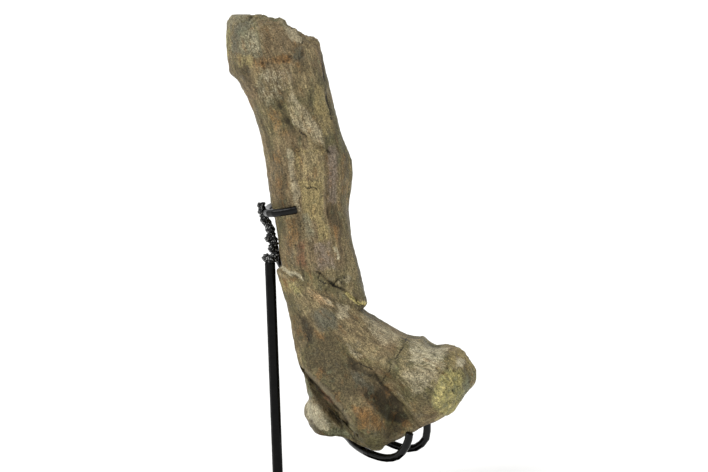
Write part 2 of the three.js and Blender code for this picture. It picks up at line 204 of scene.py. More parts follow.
# Where each colour shows on the near side: colour, edge width in pixels, strength, then the outline in
# pixels. A later patch covers the ones before it.
NEAR_PATCHES = {
    "shaft right": ("umber", 10, 0.6, [
        (326, 140), (338, 146), (336, 210), (346, 240), (358, 282), (330, 226)
    ]),
    "lower middle": ("umber", 10, 0.7, [
        (300, 316), (332, 330), (346, 350), (366, 398), (346, 404), (304, 362)
    ]),
    # Painted shade in the side hollow, from its upper end down to the bottom under it.
    "shade": ("dark", 9, 0.74, [
        (342, 346), (362, 362), (384, 386), (410, 424), (394, 434), (366, 404), (350, 380)
    ]),
    "side hollow shade": ("dark", 5, 0.5, [
        (368, 380), (382, 389), (398, 404), (411, 423), (402, 429), (384, 414), (370, 398)
    ]),
    "under hollow shade": ("umber", 5, 0.95, [(376, 420), (402, 427), (404, 437), (386, 443)]),
    "facet": ("grey", 1.2, 1.0, [
        (226, 18), (243, 10), (253, 18), (257, 34), (262, 56), (250, 60), (238, 56), (226, 60)
    ]),
    "facet shade": ("slate", 6, 0.6, [(229, 22), (250, 16), (254, 28), (246, 38), (240, 58), (229, 58)]),
    "facet corner": ("grey", 1.2, 0.6, [(240, 31), (256, 30), (262, 56), (250, 56), (238, 50)]),
    "facet light": ("light", 3, 0.35, [(245, 32), (256, 32), (261, 54), (250, 54)]),
    "left rim": ("crust", 4, 0.45, [(225, 26), (231, 28), (231, 60), (225, 58)]),
    "under facet": ("umber", 7, 0.7, [(230, 60), (250, 61), (255, 82), (248, 88), (234, 76)]),
    "top brown": ("brown", 2, 0.7, [(255, 18), (282, 19), (296, 34), (292, 50), (266, 54), (260, 38)]),
    "top right pale": ("pale", 4, 0.95, [(280, 21), (300, 32), (305, 45), (293, 42)]),
    "top right": ("tan", 6, 0.6, [(302, 36), (318, 42), (320, 60), (306, 62)]),
    "facet foot": ("crust", 3, 0.4, [(238, 54), (252, 54), (254, 66), (240, 66)]),
    "orange band": ("rust", 7, 0.48, [(246, 58), (266, 56), (292, 52), (294, 66), (270, 65), (250, 68)]),
    "orange core": ("rust", 5, 0.4, [(276, 55), (292, 54), (290, 62), (278, 62)]),
    "pit": ("slate", 3, 0.75, [(293, 48), (303, 45), (305, 58), (298, 64), (292, 58)]),
    "pit light": ("grey", 1.5, 0.7, [(296, 50), (299, 49), (298, 58), (295, 58)]),
    "pit core": ("dark", 1.5, 0.6, [(300, 50), (304, 49), (303, 58), (300, 60)]),
    "hollow": ("grey", 4, 0.65, [
        (257, 72), (264, 67), (278, 68), (284, 84), (284, 102), (268, 110), (258, 96)
    ]),
    "lilac": ("lilac", 6, 0.5, [(274, 68), (286, 68), (289, 84), (287, 98), (279, 92)]),
    "hollow light": ("light", 5, 0.4, [(259, 72), (270, 67), (282, 72), (285, 92), (274, 104), (262, 98)]),
    "hollow rim": ("pale", 2.5, 0.5, [(285, 69), (289, 72), (293, 88), (299, 102), (294, 102), (289, 90)]),
    "right of rim": ("umber", 6, 0.5, [(292, 66), (299, 68), (306, 100), (300, 100), (294, 84)]),
    "right brown": ("tan", 7, 0.5, [(300, 66), (318, 66), (322, 98), (306, 100)]),
    "yellow band": ("khaki", 7, 0.8, [(312, 84), (323, 88), (333, 132), (323, 136), (314, 108)]),
    "dark edge": ("dark", 2, 0.5, [(321, 54), (324, 58), (328, 96), (331, 112), (326, 100), (322, 76)]),
    "red mottle": ("rust", 8, 0.4, [(264, 112), (276, 104), (286, 108), (298, 142), (276, 140)]),
    "dark v": ("umber", 5, 0.6, [(276, 100), (282, 102), (294, 128), (304, 140), (292, 138), (282, 118)]),
    "flake": ("pale", 2, 0.55, [
        (286, 96), (292, 94), (306, 110), (321, 128), (326, 146), (310, 139), (291, 122)
    ]),
    "flake shade": ("tan", 5, 0.4, [(284, 96), (300, 108), (306, 126), (292, 118)]),
    "narrow ridge": ("pale", 3.5, 0.65, [
        (286, 148), (293, 150), (300, 190), (303, 214), (297, 214), (291, 188)
    ]),
    "plate": ("khaki", 3, 0.85, [(295, 148), (324, 150), (324, 222), (306, 222), (299, 190)]),
    "plate top": ("tan", 5, 0.7, [(300, 150), (322, 152), (322, 182), (300, 180)]),
    "lilac band": ("lilac", 4, 0.65, [(326, 142), (338, 146), (339, 204), (327, 204)]),
    "brown strip": ("rust", 4, 0.35, [(339, 148), (350, 152), (352, 192), (340, 192)]),
    "left brown": ("umber", 5, 0.7, [(274, 168), (287, 172), (289, 213), (278, 212)]),
    "left orange": ("rust", 5, 0.45, [(272, 150), (282, 150), (284, 200), (277, 200)]),
    "glint dark": ("umber", 5, 0.3, [(326, 202), (335, 204), (337, 228), (328, 228)]),
    "orange spot": ("rust", 4, 0.6, [(332, 224), (338, 226), (339, 240), (335, 244)]),
    "grey patch": ("grey", 5, 0.6, [(301, 216), (309, 214), (314, 226), (317, 244), (307, 246)]),
    "orange streaks": ("rust", 7, 0.55, [(281, 218), (296, 216), (302, 240), (302, 262), (288, 254)]),
    "reddish": ("red", 7, 0.6, [(294, 244), (306, 240), (313, 262), (308, 272), (294, 266)]),
    "mauve": ("lilac", 7, 0.6, [(311, 242), (332, 238), (338, 268), (314, 272)]),
    # A painted highlight: the glint on the shaft.
    "shaft glint": ("light", 2, 0.7, [(333, 245), (338, 248), (341, 258), (337, 260)]),
    "right low": ("tan", 6, 0.55, [(338, 234), (348, 238), (358, 278), (346, 274)]),
    "khaki low": ("khaki", 5, 0.7, [(316, 215), (325, 215), (333, 240), (316, 242)]),
    # The ledge is cream coloured, with a painted highlight along it.
    "ledge": ("light", 2, 0.7, [(276, 268), (284, 266), (307, 279), (304, 282), (288, 274)]),
    "yellow brown": ("khaki", 4, 0.9, [(277, 276), (291, 277), (302, 285), (300, 293), (281, 291)]),
    "yellow core": ("rust", 4, 0.7, [(280, 275), (296, 278), (300, 286), (286, 288)]),
    "yellow speck": ("crust", 4, 0.45, [(287, 279), (296, 281), (305, 291), (296, 295), (288, 287)]),
    "fill": ("olive", 4, 0.5, [(300, 270), (316, 272), (340, 290), (334, 294), (310, 286)]),
    "break tan": ("tan", 5, 0.6, [(336, 272), (352, 272), (357, 292), (349, 290)]),
    "break rim": ("pale", 2, 0.5, [(336, 277), (346, 274), (352, 278), (348, 283), (338, 284)]),
    "crevice": ("dark", 1.5, 0.6, [
        (318, 273), (327, 279), (336, 285), (344, 288), (352, 297), (342, 292), (330, 285)
    ]),
    "yellow line": ("mineral", 1.2, 0.8, [
        (343, 292), (349, 293), (358, 300), (367, 302), (366, 306), (356, 303)
    ]),
    "pink": ("pink", 6, 0.65, [(306, 289), (322, 293), (336, 303), (338, 311), (320, 306)]),
    "pink light": ("light", 4, 0.4, [(320, 295), (334, 300), (338, 309), (326, 306)]),
    "blue grey": ("slate", 6, 0.7, [(310, 312), (326, 306), (338, 314), (340, 328), (320, 334)]),
    "pale pink": ("pale", 5, 0.9, [(335, 303), (350, 308), (349, 321), (337, 318)]),
    "left strip low": ("umber", 5, 0.4, [(286, 290), (296, 296), (304, 342), (296, 350), (290, 320)]),
    "left dark low": ("dark", 7, 0.4, [(298, 314), (312, 320), (318, 345), (304, 349)]),
    "left dark core": ("dark", 6, 0.55, [(299, 316), (310, 320), (316, 344), (305, 346)]),
    "pillar": ("tan", 5, 0.5, [(340, 320), (362, 318), (382, 352), (362, 362), (348, 345)]),
    "upper right low": ("pale", 7, 0.7, [(360, 314), (400, 331), (404, 346), (380, 345)]),
    "streaks": ("pale", 2.5, 0.6, [(345, 342), (358, 350), (366, 358), (360, 360), (350, 352)]),
    "blue shade": ("slate", 5, 0.7, [(348, 368), (362, 374), (378, 388), (374, 396), (358, 386)]),
    "crest": ("umber", 3, 0.95, [
        (300, 364), (322, 384), (340, 399), (352, 420), (346, 428), (334, 408), (314, 390)
    ]),
    "outer wall": ("moss", 3, 0.8, [(301, 374), (309, 379), (316, 398), (304, 398)]),
    "gap": ("umber", 3, 0.9, [
        (306, 375), (322, 389), (336, 404), (347, 424), (341, 430), (330, 417), (314, 402)
    ]),
    # Painted shade in the deep core of the gap.
    "gap core shade": ("dark", 2, 0.7, [(314, 388), (326, 402), (340, 420), (344, 428), (336, 420), (322, 404)]),
    "gap red": ("red", 3, 0.8, [(317, 387), (324, 392), (334, 405), (324, 402)]),
    "far knob": ("pale", 2, 0.8, [
        (304, 396), (318, 402), (330, 420), (346, 432), (348, 437), (330, 437), (306, 420)
    ]),
    # Painted light on the far knob's upper left, over its pale colour.
    "knob light": ("light", 5, 0.9, [
        (307, 402), (318, 404), (330, 420), (334, 430), (320, 430), (309, 418)
    ]),
    "knob green": ("moss", 6, 0.5, [(312, 402), (322, 408), (340, 430), (346, 434), (330, 430)]),
    "knob bottom": ("moss", 5, 0.7, [(322, 431), (346, 429), (354, 437), (330, 440)]),
    "orange patch": ("rust", 6, 0.7, [
        (350, 406), (366, 405), (384, 418), (384, 432), (372, 436), (360, 432)
    ]),
    "tip brown": ("umber", 6, 0.5, [(362, 430), (380, 428), (382, 440), (370, 444)]),
    "red spot": ("red", 1.5, 0.9, [(367, 431), (372, 432), (371, 438), (367, 437)]),
    "ridge tip": ("olive", 3, 0.7, [(362, 432), (378, 432), (386, 444), (374, 450)]),
    "hollow wall": ("moss", 4, 0.35, [
        (388, 382), (400, 384), (414, 402), (424, 420), (418, 422), (402, 398)
    ]),
    # A painted highlight along the side hollow's upper lip.
    "lip": ("pale", 3, 0.6, [(392, 386), (402, 395), (413, 408), (421, 419), (419, 420), (410, 408)]),
    # The knuckle's top is pale, and lighter still as painted light where it faces up.
    "knuckle top": ("pale", 12, 0.6, [
        (404, 338), (454, 346), (448, 366), (436, 388), (414, 400), (399, 376)
    ]),
    "knuckle brow": ("light", 9, 0.55, [
        (405, 338), (428, 340), (453, 347), (446, 366), (416, 368), (402, 354)
    ]),
    "knuckle low": ("olive", 8, 0.3, [(416, 400), (430, 398), (436, 416), (424, 426), (414, 414)]),
    "knuckle rust": ("rust", 6, 0.45, [(406, 398), (416, 400), (418, 414), (412, 412)]),
    "knuckle warm": ("rust", 6, 0.3, [(390, 334), (404, 338), (400, 356), (392, 366), (386, 352)]),
    "knuckle left": ("tan", 6, 0.55, [(398, 350), (408, 342), (410, 366), (398, 372)]),
    "knuckle crack": ("umber", 3, 0.4, [
        (404, 338), (409, 339), (400, 358), (393, 370), (390, 366), (396, 354)
    ]),
    "crust rim": ("moss", 6, 0.6, [(464, 368), (477, 372), (472, 394), (446, 420), (440, 414), (458, 396)]),
    "crust": ("crust", 4, 0.85, [
        (433, 396), (441, 376), (449, 371), (464, 374), (461, 388), (455, 404), (446, 413), (432, 407)
    ]),
    "crust bright": ("mineral", 3, 0.5, [
        (433, 404), (436, 392), (443, 380), (447, 388), (443, 400), (437, 408)
    ]),
    "crust top": ("khaki", 5, 0.8, [(448, 352), (461, 349), (474, 364), (472, 372), (450, 366)]),
    "crust edge": ("olive", 4, 0.5, [(462, 364), (475, 370), (472, 384), (462, 378)]),
    "whitish": ("light", 3, 0.7, [(455, 358), (466, 360), (464, 366), (456, 367)]),
    "under knuckle": ("slate", 3, 0.5, [(426, 424), (444, 416), (440, 424), (430, 430)]),
}
# The far side isn't in the photograph. These places are where they would show if the bone were clear.
FAR_PATCHES = {
    "head": ("grey", 9, 0.6, [(244, 20), (286, 22), (302, 44), (292, 66), (264, 60)]),
    "head foot": ("tan", 12, 0.6, [(262, 74), (292, 70), (308, 96), (300, 126), (274, 114)]),
    "rust streak": ("rust", 8, 0.5, [(290, 108), (302, 116), (314, 168), (304, 160)]),
    "shaft": ("khaki", 11, 0.55, [(292, 150), (312, 146), (322, 188), (312, 232), (300, 214)]),
    "lilac": ("lilac", 10, 0.5, [(320, 144), (338, 160), (338, 222), (326, 200)]),
    "shaft foot": ("red", 9, 0.5, [(298, 226), (314, 236), (324, 268), (306, 262)]),
    "ledge": ("pale", 3, 0.7, [(276, 268), (292, 268), (316, 282), (298, 284)]),
    "yellow line": ("mineral", 2, 0.8, [(330, 286), (346, 289), (362, 300), (344, 297)]),
    "lower shade": ("umber", 12, 0.6, [(316, 316), (346, 326), (376, 370), (350, 388), (330, 352)]),
    "slate": ("slate", 12, 0.45, [(340, 356), (362, 360), (384, 392), (366, 400), (348, 380)]),
    # Painted shade in the side hollow.
    "hollow": ("dark", 11, 0.5, [(368, 386), (392, 388), (406, 418), (376, 418)]),
    "knuckle": ("pale", 12, 0.5, [(408, 352), (440, 350), (446, 376), (428, 398), (410, 384)]),
    "crust": ("crust", 5, 0.85, [(440, 366), (468, 364), (470, 390), (442, 412)]),
    "knob": ("grey", 8, 0.7, [(304, 396), (330, 402), (346, 430), (310, 424)]),
}
FAR_CRACKS = {
    "break": [(276, 271), (290, 276), (306, 279), (322, 288), (340, 292), (362, 305)],
    "shaft": [(300, 150), (305, 175), (302, 200), (309, 228)],
    "head": [(270, 40), (281, 52), (285, 74), (296, 96)],
    "knuckle": [(352, 330), (366, 345), (372, 366), (388, 380)],
}


def smoothstep(low, high, value):
    share = np.clip((value - low) / (high - low), 0, 1)
    return share * share * (3 - 2 * share)


# Large primes that scramble a cell's place and the seed.
PRIMES = (374761393, 668265263, 2246822519, 3266489917)


def lattice(cells, seed):
    """A fixed pseudo-random number from -1 to 1 for each cell of a grid."""
    code = cells[:, 0] * PRIMES[0] + cells[:, 1] * PRIMES[1] + cells[:, 2] * PRIMES[2] + seed * PRIMES[3]
    code &= 0xFFFFFFFF
    code = ((code ^ (code >> 15)) * PRIMES[2]) & 0xFFFFFFFF
    code = ((code ^ (code >> 13)) * PRIMES[3]) & 0xFFFFFFFF
    return (code ^ (code >> 16)) / 0x7FFFFFFF - 1


def noise(points, seed):
    """Smooth noise from -1 to 1 with one wave per unit."""
    cell = np.floor(points).astype(np.int64)
    share = points - cell
    share = share * share * (3 - 2 * share)
    total = np.zeros(len(points))
    for corner in itertools.product((0, 1), repeat=3):
        weight = np.prod(np.where(corner, share, 1 - share), axis=1)
        total += weight * lattice(cell + np.array(corner), seed)
    return total


def fractal(points, size, seed, octaves=4):
    """Noise with ever finer detail. Size is the coarsest wave in millimetres, or one size per axis."""
    scaled = points / np.asarray(size, float)
    return sum(0.5**k * noise(scaled * 2**k, seed + k) for k in range(octaves))


def photo_pixels(points):
    """Where the photograph's camera sees each point, in pixels."""
    away = points - CAMERA_PLACE
    depth = -(away @ TO_CAMERA)
    right = IMAGE_WIDTH / 2 + FOCAL_PIXELS * away[:, 0] / depth
    down = IMAGE_HEIGHT / 2 - FOCAL_PIXELS * (away @ CAMERA_UP) / depth
    return np.stack([right, down], axis=1)


def distance_to_line(pixels, line):
    """Pixels from each place to a line of straight runs."""
    nearest = np.full(len(pixels), np.inf)
    for start, end in zip(np.array(line[:-1], float), np.array(line[1:], float)):
        run = end - start
        share = np.clip((pixels - start) @ run / (run @ run), 0, 1)
        nearest = np.minimum(nearest, np.linalg.norm(pixels - start - share[:, None] * run, axis=1))
    return nearest


def in_ellipse(pixels, centre, radii):
    """1 at the centre of an ellipse, 0.5 on its edge, 0 well outside."""
    off = (pixels - np.array(centre, float)) / np.array(radii, float)
    return np.exp(-0.693 * (off**2).sum(axis=1))


def in_outline(pixels, corners, edge):
    """1 inside an outline, 0 outside it, with an edge of the given width."""
    low, high = np.min(corners, axis=0) - edge, np.max(corners, axis=0) + edge
    close = np.flatnonzero(np.all((pixels > low) & (pixels < high), axis=1))
    x, y = pixels[close].T
    inside = np.zeros(len(close), dtype=bool)
    for (x0, y0), (x1, y1) in zip(corners, corners[1:] + corners[:1]):
        if y0 != y1:
            inside ^= ((y0 > y) != (y1 > y)) & (x < (x1 - x0) * (y - y0) / (y1 - y0) + x0)
    gap = distance_to_line(pixels[close], corners + corners[:1])
    share = np.zeros(len(pixels))
    share[close] = smoothstep(-edge, edge, np.where(inside, gap, -gap))
    return share


class Surface:
    """A closed mesh held as arrays in millimetres, for sculpting."""

    def __init__(self, source, voxel, name):
        copy = source.copy()
        copy.data = source.data.copy()
        copy.hide_render = False
        bpy.context.scene.collection.objects.link(copy)
        copy.modifiers.clear()
        weld = copy.modifiers.new("weld", "WELD")
        weld.merge_threshold = WELD_REACH * MM
        remesh = copy.modifiers.new("remesh", "REMESH")
        remesh.mode = "VOXEL"
        remesh.voxel_size = voxel * MM
        graph = bpy.context.evaluated_depsgraph_get()
        self.mesh = bpy.data.meshes.new_from_object(copy.evaluated_get(graph))
        self.mesh.name = name
        self.mesh.materials.clear()
        bpy.data.objects.remove(copy)
        count = len(self.mesh.vertices)
        self.points = np.empty(count * 3)
        self.mesh.vertices.foreach_get("co", self.points)
        self.points = self.points.reshape(-1, 3) / MM
        self.low, self.high = self.points.min(axis=0), self.points.max(axis=0)
        edges = np.empty(len(self.mesh.edges) * 2, dtype=np.int64)
        self.mesh.edges.foreach_get("vertices", edges)
        self.edges = edges.reshape(-1, 2)
        self.valence = np.maximum(np.bincount(self.edges.ravel(), minlength=count), 1)[:, None]

    def around(self, values):
        """The mean of each vertex's neighbours."""
        a, b = self.edges[:, 0], self.edges[:, 1]
        total = [np.bincount(a, values[b, k], len(values)) + np.bincount(b, values[a, k], len(values))
                 for k in range(values.shape[1])]
        return np.stack(total, axis=1) / self.valence

    def smooth(self, rounds, weight=1.0):
        """Rounds off facets. Each second step swells what the first one shrank."""
        for step in range(rounds * 2):
            strength = SMOOTH_SHRINK if step % 2 == 0 else SMOOTH_SWELL
            self.points += weight * strength * (self.around(self.points) - self.points)

    def normals(self):
        """Hands the points to the mesh and returns its vertex normals."""
        self.mesh.vertices.foreach_set("co", (self.points * MM).ravel())
        self.mesh.update()
        found = np.empty(len(self.points) * 3)
        self.mesh.vertex_normals.foreach_get("vector", found)
        return found.reshape(-1, 3)

    def push(self, amount, normals):
        """Moves each point along its normal, in millimetres."""
        self.points += amount[:, None] * normals

    def hollowness(self, rounds):
        """How far each point lies below its smoothed surroundings, in millimetres."""
        kept = self.points.copy()
        normals = self.normals()
        for _ in range(rounds):
            self.points = self.around(self.points)
        depth = np.einsum("ij,ij->i", self.points - kept, normals)
        self.points = kept
        return depth

    def keep_inside(self):
        """Holds every point within the box of the CAD solid."""
        self.points = np.clip(self.points, self.low, self.high)

    def attribute(self, name, values):
        kind, key = ("FLOAT", "value") if values.ndim == 1 else ("FLOAT_VECTOR", "vector")
        stored = self.mesh.attributes.new(name, kind, "POINT")
        stored.data.foreach_set(key, values.astype(np.float32).ravel())

    def finish(self, name, node, material):
        self.normals()
        self.mesh.polygons.foreach_set("use_smooth", np.ones(len(self.mesh.polygons), dtype=bool))
        piece = bpy.data.objects.new(name, self.mesh)
        bpy.context.scene.collection.objects.link(piece)
        self.mesh.materials.append(material)
        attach(piece, "root")
        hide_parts(node)


def from_break(points):
    """Signed distance in millimetres from the break, above it positive."""
    run = np.array(BREAK_REAR) - np.array(BREAK_FRONT)
    run /= np.linalg.norm(run)
    off = points[:, [0, 2]] - np.array(BREAK_FRONT)
    return off[:, 1] * run[0] - off[:, 0] * run[1]


def fibre_places(points):
    """Coordinates that follow the bone's fibres: across them, into the bone, and along them."""
    heights, middles = zip(*SHAFT_MIDDLE)
    x, y, z = points.T
    upper = np.stack([x - np.interp(z, heights, middles), y, z], axis=1)
    right, down = x - FIBRE_FAN[0], FIBRE_FAN[1] - z
    lower = np.stack([np.arctan2(right, down) * FIBRE_FAN_RADIUS, y, np.hypot(right, down)], axis=1)
    return np.where(from_break(points)[:, None] > 0, upper, lower)


def near_line(pixels, line, reach):
    """Which places lie within reach of a line's box."""
    return np.flatnonzero(np.all((pixels > np.min(line, axis=0) - reach)
                                 & (pixels < np.max(line, axis=0) + reach), axis=1))


def line_field(pixels, lines):
    """The sum of soft-edged lines, each of its own height and half width."""
    total = np.zeros(len(pixels))
    for height, half_width, line in lines.values():
        close = near_line(pixels, line, 3 * half_width)
        total[close] += height * np.exp(-((distance_to_line(pixels[close], line) / half_width) ** 2))
    return total


def cliff_field(pixels, cliffs):
    """How far each point lies below the cliffs near it."""
    total = np.zeros(len(pixels))
    for height, reach, line in cliffs.values():
        close = near_line(pixels, line, 2.5 * reach)
        ends = np.array(line, float)
        middles = (ends[:-1] + ends[1:]) / 2
        nearest = np.argmin(np.linalg.norm(pixels[close, None] - middles, axis=2), axis=1)
        run, off = (ends[1:] - ends[:-1])[nearest], pixels[close] - ends[:-1][nearest]
        left = run[:, 1] * off[:, 0] - run[:, 0] * off[:, 1] > 0
        gap = distance_to_line(pixels[close], line)
        total[close] += height * left * smoothstep(0, 1.4, gap) * np.exp(-((gap / reach) ** 2))
    return total


def crack_distance(pixels, cracks):
    """Pixels to the nearest crack, 20 at most."""
    nearest = np.full(len(pixels), 20.0)
    for line in cracks.values():
        close = near_line(pixels, line, 20)
        nearest[close] = np.minimum(nearest[close], distance_to_line(pixels[close], line))
    return nearest


def sculpt_bone(bone):
    """Gives the bone its fine forms. Returns what the painting needs of them."""
    # The bone is rounded off, but less so at the break and at the top end.
    bone.smooth(6)
    away = smoothstep(4, 14, np.abs(from_break(bone.points))) * smoothstep(580, 560, bone.points[:, 2])
    bone.smooth(40, away[:, None])

    points = bone.points.copy()
    normals = bone.normals()
    facing = normals @ TO_CAMERA
    near = smoothstep(0.02, 0.3, facing)
    grain = fibre_places(points)
    wander = np.stack([fractal(grain, (7, 7, 12), 11, 3), fractal(grain, (7, 7, 12), 21, 3)], axis=1)
    pixels = photo_pixels(points)
    broken = pixels + 0.9 * wander

    # Lumps and fibres of the skin.
    lumps = 0.9 * fractal(points, (26, 26, 50), 1, 3) + 0.5 * fractal(points, 8, 5, 3)
    fibres = 0.3 * fractal(grain, (3.4, 5, 20), 7, 3)
    bone.push(lumps + fibres, normals)

    # The forms of the near side, the outline and the cracks of both sides.
    forms = line_field(broken, RIDGES) - line_field(broken, GROOVES) - cliff_field(broken, CLIFFS)
    for centre, radii, height in BUMPS:
        forms += height * in_ellipse(broken, centre, radii)
    crack_gap = np.where(facing > 0, crack_distance(broken, CRACKS), crack_distance(broken, FAR_CRACKS))
    closed = smoothstep(4, 14, np.abs(from_break(points)))
    closed = closed * (1 - in_ellipse(pixels, *KNUCKLE_CRACK_PLACE))
    crack_gap += 3 * closed * smoothstep(-0.15, 0.5, noise(points / 9, 17))
    crack_gap += 3 * smoothstep(0.25, 0.05, np.abs(facing))
    outline = sum(height * in_ellipse(pixels, centre, radii) for centre, radii, height in OUTLINE_FORMS)
    bone.push(outline - 0.5 * smoothstep(2.0, 0.2, crack_gap), normals)
    bone.points += (near * forms)[:, None] * TO_CAMERA

    # The broken top end, chipped in steps.
    top = smoothstep(0.15, 0.6, normals[:, 2]) * smoothstep(530, 556, points[:, 2])
    chipped = np.round(2.2 * fractal(points, 15, 31, 3)) * 0.9 + 1.5 * fractal(points, 5, 35, 3)
    torn = points + np.outer(2.6 * fractal(points, (30, 13, 30), 65, 2), (1, 0, 0))
    for centre, radii, height in TOP_CHIPS:
        chipped += height * np.exp(-(((torn - centre) / radii) ** 2).sum(axis=1))
    bone.push(top * (chipped - 0.5), normals)

    # The crumbly crust, on its place and on the bone's rear end.
    crusted = in_ellipse(broken, *CRUST_PLACE) * smoothstep(-0.6, 0.1, facing)
    rear_end = smoothstep(0.1, 0.6, normals[:, 0]) * smoothstep(95, 130, points[:, 0])
    crusted = np.maximum(crusted, 0.8 * rear_end)
    crumbs = 0.9 * fractal(points, 7, 41, 4) - 1.3 * smoothstep(0.25, 0.7, noise(points / 4.2, 47))
    bone.push(crusted * crumbs, normals)

    # Pits of the skin, and the torn edges along the break.
    pits = smoothstep(0.4, 0.8, noise(points / 3.0, 51)) * smoothstep(-0.3, 0.4, noise(points / 30, 53))
    bone.push(-0.7 * pits, normals)
    lift = smoothstep(2.6, 0.2, np.abs(from_break(points) + 2 * wander[:, 0])) * 1.4
    bone.push(lift * noise(points / 5, 61), normals)
    bone.keep_inside()
    bone.attribute("grain", grain)
    bone.attribute("crack_gap", crack_gap)
    bone.attribute("pits", pits)
    return broken, grain, facing, crusted


def paint_bone(bone, pixels, grain, facing, crusted):
    """Stores where each colour shows, and where hollows get painted shade and crests a painted highlight,
    for the material to mix.
    """
    near, far = smoothstep(-0.3, 0.05, facing), smoothstep(-0.05, -0.35, facing)
    smear = np.stack([fractal(grain, (9, 9, 24), 81, 4), fractal(grain, (9, 9, 24), 91, 4)], axis=1)
    pixels = pixels + 1.3 * smear
    amounts = {paint: np.zeros(len(pixels)) for paint in PATCH_SHARES}
    amounts["crust"] = 0.7 * crusted
    for side, patches in ((near, NEAR_PATCHES), (far, FAR_PATCHES)):
        for paint, edge, strength, corners in patches.values():
            share = side * strength * in_outline(pixels, corners, edge)
            for amount in amounts.values():
                amount *= 1 - share
            amounts[paint] += share
    for paint, amount in amounts.items():
        bone.attribute(paint, amount)
    # Painted shade and highlight: hollows are darkened and crests lightened by how far they lie below or
    # above their smoothed surroundings.
    hollow = bone.hollowness(14)
    bone.attribute("hollow", smoothstep(0.1, 1.6, hollow))
    bone.attribute("crest", smoothstep(0.15, 1.3, -hollow))


def linear(hex_colour):
    """A colour as it looks on screen, turned into the shader's values."""
    parts = [int(hex_colour[k:k + 2], 16) / 255 for k in (0, 2, 4)]
    return tuple(p / 12.92 if p <= 0.04045 else ((p + 0.055) / 1.055) ** 2.4 for p in parts) + (1.0,)


class Nodes:
    """Short ways to build a material's node tree."""

    def __init__(self, name):
        self.material = bpy.data.materials.new(name)
        self.material.use_nodes = True
        self.tree = self.material.node_tree
        self.shader = self.tree.nodes["Principled BSDF"]

    def put(self, socket, value):
        if isinstance(value, bpy.types.NodeSocket):
            self.tree.links.new(value, socket)
        else:
            socket.default_value = value

    def node(self, kind, inputs=(), **settings):
        made = self.tree.nodes.new(kind)
        for key, value in settings.items():
            setattr(made, key, value)
        for key, value in dict(inputs).items():
            self.put(made.inputs[key], value)
        return made

    def math(self, operation, a, b=0.0):
        return self.node("ShaderNodeMath", {0: a, 1: b}, operation=operation).outputs[0]

    def attribute(self, name, output="Fac"):
        return self.node("ShaderNodeAttribute", attribute_name=name).outputs[output]

    def ramp(self, value, low, high, to_low=0.0, to_high=1.0):
        inputs = {"Value": value, "From Min": low, "From Max": high, "To Min": to_low, "To Max": to_high}
        return self.node("ShaderNodeMapRange", inputs, interpolation_type="SMOOTHSTEP").outputs[0]

    def mix(self, share, a, b, blend="MIX"):
        made = self.node("ShaderNodeMix", data_type="RGBA", blend_type=blend)
        self.put(made.inputs["Factor"], share)
        self.put(made.inputs[6], a)
        self.put(made.inputs[7], b)
        return made.outputs[2]

    def noise(self, vector, scale, stretch=(1, 1, 1), detail=4.0, roughness=0.6, offset=(0, 0, 0)):
        mapped = self.node("ShaderNodeMapping", {"Vector": vector, "Scale": stretch, "Location": offset})
        inputs = {"Vector": mapped.outputs[0], "Scale": scale, "Detail": detail, "Roughness": roughness}
        return self.node("ShaderNodeTexNoise", inputs).outputs["Fac"]

    def bump(self, height, distance, strength):
        inputs = {"Height": height, "Distance": distance, "Strength": strength}
        self.put(self.shader.inputs["Normal"], self.node("ShaderNodeBump", inputs).outputs[0])


BONE_COLOURS = {
    "brown": "75654a", "olive": "635d3f", "umber": "4d432e", "tan": "8e7f5c", "khaki": "918258",
    "pale": "a1967a", "light": "bdb497", "grey": "7b765e", "slate": "58574a", "lilac": "7d7063",
    "rust": "7e5a30", "red": "6c4630", "pink": "ac8e68", "crust": "a39a62", "moss": "74775c",
    "mineral": "d2c380", "dark": "241f13", "crack": "110e09",
}
# How much of each patch colour shows where a patch is at full strength.
PATCH_SHARES = {
    "umber": 0.85, "dark": 0.85, "olive": 0.8, "brown": 0.8, "tan": 0.8, "khaki": 0.8,
    "grey": 0.8, "slate": 0.75, "lilac": 0.75, "rust": 0.7, "red": 0.65, "pink": 0.8,
    "moss": 0.75, "pale": 0.8, "crust": 0.9, "mineral": 0.9, "light": 0.8,
}


